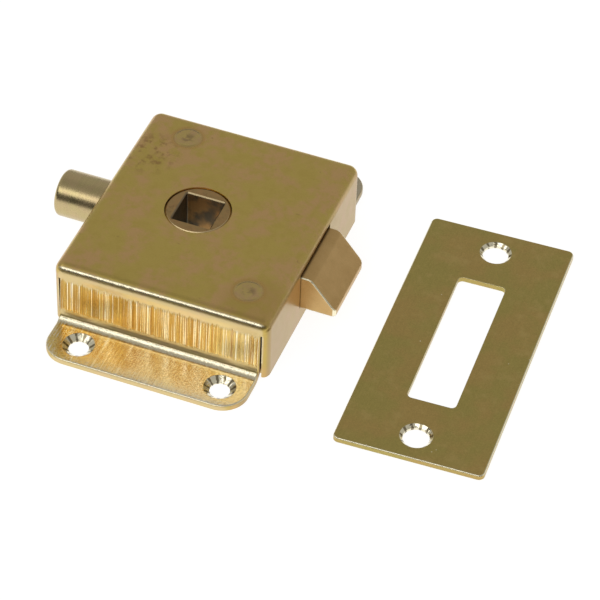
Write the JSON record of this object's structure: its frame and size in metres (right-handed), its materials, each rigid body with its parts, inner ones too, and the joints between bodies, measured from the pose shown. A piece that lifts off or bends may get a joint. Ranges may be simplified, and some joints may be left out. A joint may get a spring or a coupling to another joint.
{
  "type": "rim night latch",
  "caption": "Surface-mounted spring latch in a folded brass case with a square-drive hub, bevelled nose, side locking pin and a loose flat strike plate.",
  "frame": {"origin": "where the spindle axis meets the mounting plane against the door", "axes": "+X from the hub to the latch nose, +Y to the rear flange, +Z along the spindle axis, away from the door"},
  "size_m": [0.1001, 0.0718, 0.014],
  "materials": {
    "case_brass": "satin, lightly tarnished",
    "hub_brass": "satin",
    "nose_brass": "matte",
    "pin_brass": "satin, turned",
    "strike_brass": "satin",
    "rivet_brass": "satin",
    "plate_brass": "mill finish",
    "rivet_steel": "bright",
    "spring_steel": "drawn wire and leaf"
  },
  "bodies": {
    "case": {"case": "case_brass", "back_plate": "plate_brass", "pillar_rivet_rear": "rivet_brass", "pillar_rivet_front": "rivet_brass", "pin_guide": "plate_brass", "guide_rivet_front": "rivet_steel", "guide_rivet_rear": "rivet_steel", "detent_spring": "spring_steel", "detent_rivet": "rivet_steel", "latch_spring_front": "spring_steel", "latch_spring_rear": "spring_steel"},
    "follower": {"follower": "hub_brass"},
    "bolt": {"latch_head": "nose_brass", "bolt_yoke": "plate_brass", "yoke_rivet_front": "rivet_steel", "yoke_rivet_rear": "rivet_steel", "spring_peg_front": "rivet_steel", "spring_peg_rear": "rivet_steel"},
    "locking_pin": {"locking_pin": "pin_brass"},
    "strike_plate": {"strike_plate": "strike_brass"}
  },
  "joints": [
    {"name": "follower_turn", "type": "hinge", "parent": "case", "child": "follower", "pos_m": [0, 0, 0], "axis": [0, 0, 1], "range_deg": [0, 40]},
    {"name": "bolt_slide", "type": "slide", "parent": "case", "child": "bolt", "axis": [1, 0, 0], "range_m": [-0.00733, 0], "stiffness_N_per_m": 20, "springref_m": 0.005, "deforming": ["latch_spring_front", "latch_spring_rear"]},
    {"name": "pin_slide", "type": "slide", "parent": "case", "child": "locking_pin", "axis": [1, 0, 0], "range_m": [0, 0.0042], "deforming": ["detent_spring"]},
    {"name": "strike_lift", "type": "slide", "parent": "case", "child": "strike_plate", "axis": [0, 0, 1], "range_m": [0, 0.03]}
  ],
  "couplings": [
    {"joint": "follower_turn", "follows": "bolt_slide", "rad_per_m": -95.238}
  ]
}
